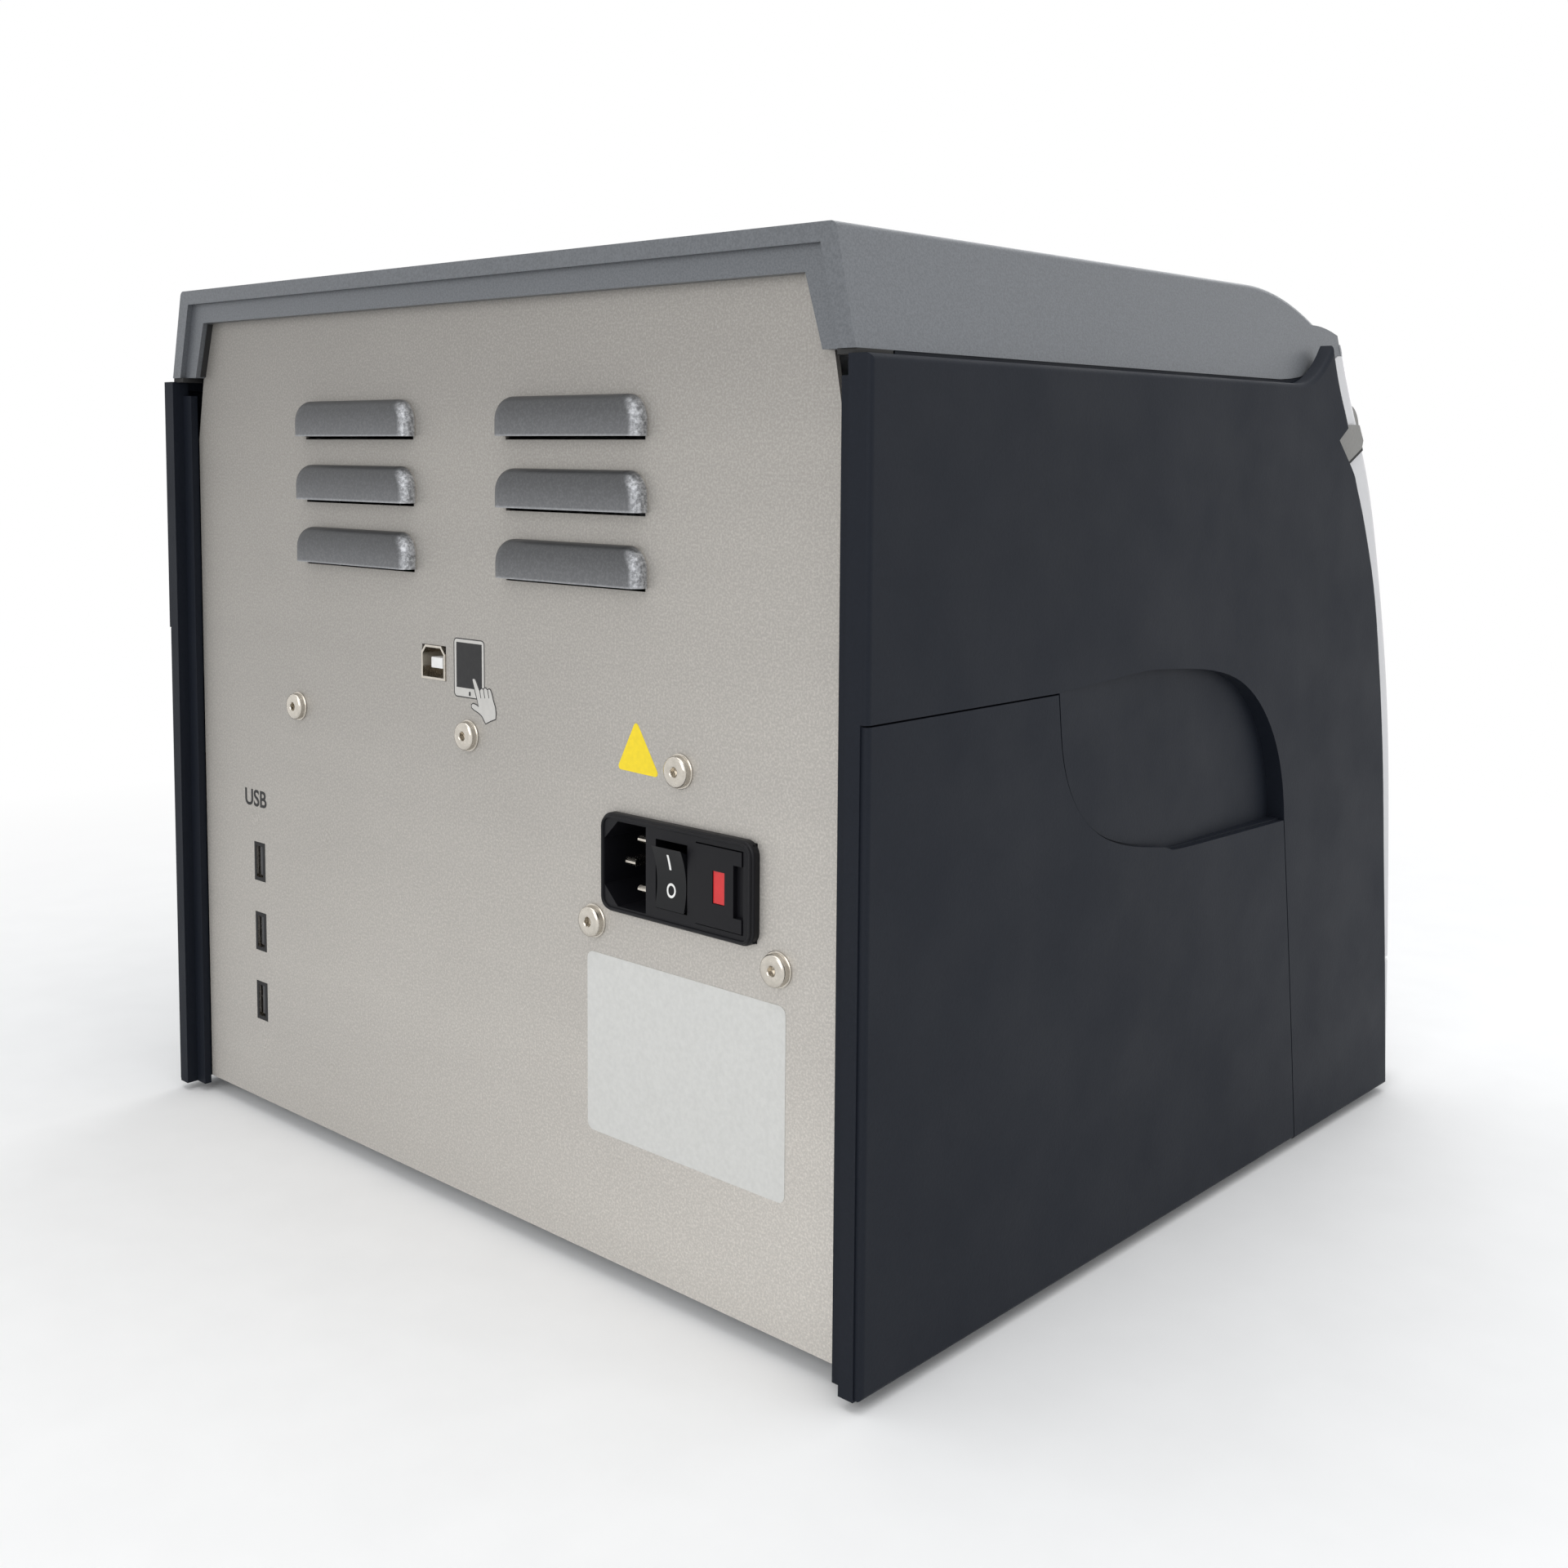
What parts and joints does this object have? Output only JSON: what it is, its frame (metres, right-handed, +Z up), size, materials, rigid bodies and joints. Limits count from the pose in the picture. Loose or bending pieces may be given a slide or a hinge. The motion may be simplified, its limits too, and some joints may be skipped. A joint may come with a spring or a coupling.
{
  "type": "nucleic acid extractor",
  "caption": "Benchtop magnetic-rod nucleic acid extractor with an upward-hinged front door, sliding sample platform, lifting rod head and rear connection panel.",
  "frame": {"origin": "centre of the footprint at the underside of the feet", "axes": "+Z up, -Y out of the front door, +Y out of the rear panel, +X to the right seen from the front"},
  "size_m": [0.33, 0.332, 0.292],
  "materials": {
    "cover_paint": "mid grey satin metallic paint",
    "side_plastic": "fine-grained charcoal moulding",
    "skin_plastic": "glossy near-white moulding",
    "liner_plastic": "plain off-white moulding",
    "cap_plastic": "mid grey moulding",
    "rear_sheet": "light warm grey coated sheet",
    "frame_sheet": "plain zinc-plated sheet",
    "nickel": "nickel-plated fasteners",
    "bright_steel": "ground and hardened steel",
    "plate_aluminium": "milled and clear anodised",
    "heater_aluminium": "milled block",
    "bronze": "plain bearing bronze",
    "motor_black": "black painted motor can",
    "black_plastic": "black moulded plastic",
    "dark_plastic": "dark moulded plastic",
    "rocker_plastic": "black rocker, slightly glossy",
    "red_plastic": "red voltage selector insert",
    "rod_plastic": "sleeved magnetic rods",
    "board": "green circuit board",
    "foot_rubber": "black rubber",
    "fuse_glass": "glass cartridge fuses"
  },
  "bodies": {
    "chassis": {"base_plate": "frame_sheet", "rubber_feet": "foot_rubber", "side_panel_right": "side_plastic", "side_panel_left": "side_plastic", "side_insert_right": "side_plastic", "side_insert_left": "side_plastic", "top_cover": "cover_paint", "rear_panel": "rear_sheet", "rear_screws": "nickel", "press_studs": "frame_sheet", "front_brow": "skin_plastic", "front_sill": "skin_plastic", "hinge_caps": "cap_plastic", "hinge_pins": "bright_steel", "side_frame_right": "frame_sheet", "side_frame_left": "frame_sheet", "bulkhead": "frame_sheet", "head_bridge": "frame_sheet", "guide_rods": "bright_steel", "guide_brackets": "plate_aluminium", "linear_rails": "bright_steel", "screw_bearing": "plate_aluminium", "platform_motor": "motor_black", "lift_shelf": "frame_sheet", "rod_lift_motor": "motor_black", "plunger_lift_motor": "motor_black", "power_supply": "frame_sheet", "power_supply_brackets": "frame_sheet", "control_board": "board", "usb_hub_board": "board", "usb_host_ports": "nickel", "usb_device_board": "board", "usb_device_port": "nickel", "inlet_housing": "black_plastic", "inlet_pins": "nickel"},
    "front_door": {"door_shell": "skin_plastic", "door_liner": "liner_plastic", "door_hinge_cheeks": "cap_plastic"},
    "platform": {"platform_plate": "plate_aluminium", "platform_risers": "frame_sheet", "rail_carriages": "bright_steel", "nut_bracket": "plate_aluminium", "drive_nut": "bronze", "deck_tray": "dark_plastic", "tray_dividers": "dark_plastic", "elution_block": "heater_aluminium"},
    "screw": {"drive_screw": "bright_steel"},
    "magnet_head": {"rod_head": "plate_aluminium", "magnetic_rods": "rod_plastic", "rod_head_bushes": "bronze", "rod_lift_shaft": "bright_steel"},
    "plunger_head": {"plunger_bar": "plate_aluminium", "plunger_bushes": "bronze", "plunger_lift_shaft": "bright_steel"},
    "rocker": {"rocker_switch": "rocker_plastic"},
    "fuse_holder": {"fuse_drawer": "black_plastic", "fuses": "fuse_glass", "voltage_window": "red_plastic"}
  },
  "joints": [
    {"name": "door_hinge", "type": "hinge", "parent": "chassis", "child": "front_door", "pos_m": [0, -0.107, 0.246], "axis": [-1, 0, 0], "range_deg": [0, 72]},
    {"name": "platform_slide", "type": "slide", "parent": "chassis", "child": "platform", "axis": [0, -1, 0], "range_m": [0, 0.1251]},
    {"name": "drive_screw_spin", "type": "hinge", "parent": "chassis", "child": "screw", "pos_m": [0, 0, 0.03], "axis": [0, 1, 0], "range_deg": [0, 4505]},
    {"name": "rod_head_slide", "type": "slide", "parent": "chassis", "child": "magnet_head", "axis": [0, 0, -1], "range_m": [0, 0.04]},
    {"name": "plunger_slide", "type": "slide", "parent": "chassis", "child": "plunger_head", "axis": [0, 0, -1], "range_m": [0, 0.014]},
    {"name": "rocker_hinge", "type": "hinge", "parent": "chassis", "child": "rocker", "pos_m": [-0.094, 0.1569, 0.1228], "axis": [1, 0, 0], "range_deg": [0, 9]},
    {"name": "fuse_drawer_slide", "type": "slide", "parent": "chassis", "child": "fuse_holder", "axis": [0, 1, 0], "range_m": [0, 0.026]}
  ],
  "couplings": [
    {"joint": "platform_slide", "follows": "door_hinge", "m_per_rad": 0.099472},
    {"joint": "drive_screw_spin", "follows": "door_hinge", "ratio": 62.5}
  ]
}
